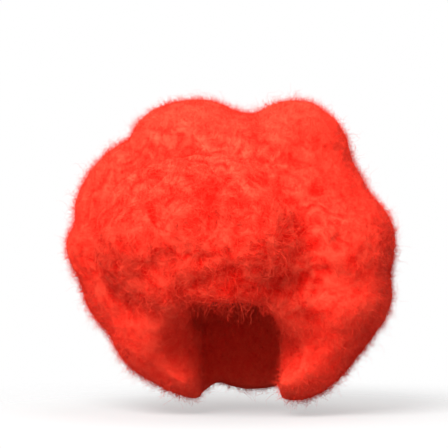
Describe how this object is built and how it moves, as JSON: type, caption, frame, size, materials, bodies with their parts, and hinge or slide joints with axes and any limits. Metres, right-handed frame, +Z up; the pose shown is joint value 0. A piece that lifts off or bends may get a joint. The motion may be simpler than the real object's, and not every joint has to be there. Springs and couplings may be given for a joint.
{
  "type": "afro costume wig",
  "caption": "Oversized teased afro costume wig in red-orange hair, sewn on a netted cap with weft tracks, ear tabs and hooked nape adjuster straps.",
  "frame": {"origin": "centre of the head girth plane inside the cap, where the wearer's head sits", "axes": "+Z up through the crown, -Y the way the face looks, +X the wearer's left"},
  "size_m": [0.406, 0.378, 0.368],
  "materials": {
    "red_hair": "satin",
    "cap_netting": "matte",
    "weft_seam": "matte",
    "cap_tape": "matte",
    "strap_elastic": "matte",
    "hook_plastic": "satin",
    "stitch_thread": "matte"
  },
  "bodies": {
    "cap": {"back_center_tape": "cap_tape", "cap_net": "cap_netting", "crown_patch": "weft_seam", "crown_tape": "cap_tape", "forehead_band": "cap_tape", "front_center_tape": "cap_tape", "hair_back_left": "red_hair", "hair_back_right": "red_hair", "hair_cheek_left": "red_hair", "hair_cheek_right": "red_hair", "hair_crown_back_left": "red_hair", "hair_crown_back_right": "red_hair", "hair_crown_front_left": "red_hair", "hair_crown_front_right": "red_hair", "hair_fringe": "red_hair", "hair_nape": "red_hair", "hair_shoulder_left": "red_hair", "hair_shoulder_right": "red_hair", "hair_side_left": "red_hair", "hair_side_right": "red_hair", "hair_temple_left": "red_hair", "hair_temple_right": "red_hair", "left_ear_band": "cap_tape", "left_ear_tab": "cap_tape", "left_loop_strip": "strap_elastic", "left_nape_side_band": "cap_tape", "left_temple_band": "cap_tape", "nape_band": "cap_tape", "nape_elastic": "strap_elastic", "right_ear_band": "cap_tape", "right_ear_tab": "cap_tape", "right_loop_strip": "strap_elastic", "right_nape_side_band": "cap_tape", "right_temple_band": "cap_tape", "strap_bar_tacks": "stitch_thread", "weft_track_01": "weft_seam", "weft_track_02": "weft_seam", "weft_track_03": "weft_seam", "weft_track_04": "weft_seam", "weft_track_05": "weft_seam", "weft_track_06": "weft_seam", "weft_track_07": "weft_seam", "weft_track_08": "weft_seam", "weft_track_09": "weft_seam", "weft_track_10": "weft_seam", "weft_track_11": "weft_seam", "weft_track_12": "weft_seam"},
    "left_strap": {"left_adjuster_strap": "strap_elastic"},
    "left_hook": {"left_adjuster_hook": "hook_plastic"},
    "right_strap": {"right_adjuster_strap": "strap_elastic"},
    "right_hook": {"right_adjuster_hook": "hook_plastic"}
  },
  "joints": [
    {"name": "left_strap_swing", "type": "hinge", "parent": "cap", "child": "left_strap", "pos_m": [0.05596, 0.03774, -0.053], "axis": [0.3975, 0.2681, 0.8775], "range_deg": [0, 70]},
    {"name": "left_hook_pivot", "type": "hinge", "parent": "left_strap", "child": "left_hook", "pos_m": [0.03475, 0.06401, -0.053], "axis": [0.2839, 0.4291, 0.8575], "range_deg": [0, 50]},
    {"name": "right_strap_swing", "type": "hinge", "parent": "cap", "child": "right_strap", "pos_m": [-0.05596, 0.03774, -0.053], "axis": [0.3975, -0.2681, -0.8775], "range_deg": [0, 70]},
    {"name": "right_hook_pivot", "type": "hinge", "parent": "right_strap", "child": "right_hook", "pos_m": [-0.03475, 0.06401, -0.053], "axis": [0.2839, -0.4291, -0.8575], "range_deg": [0, 50]}
  ]
}
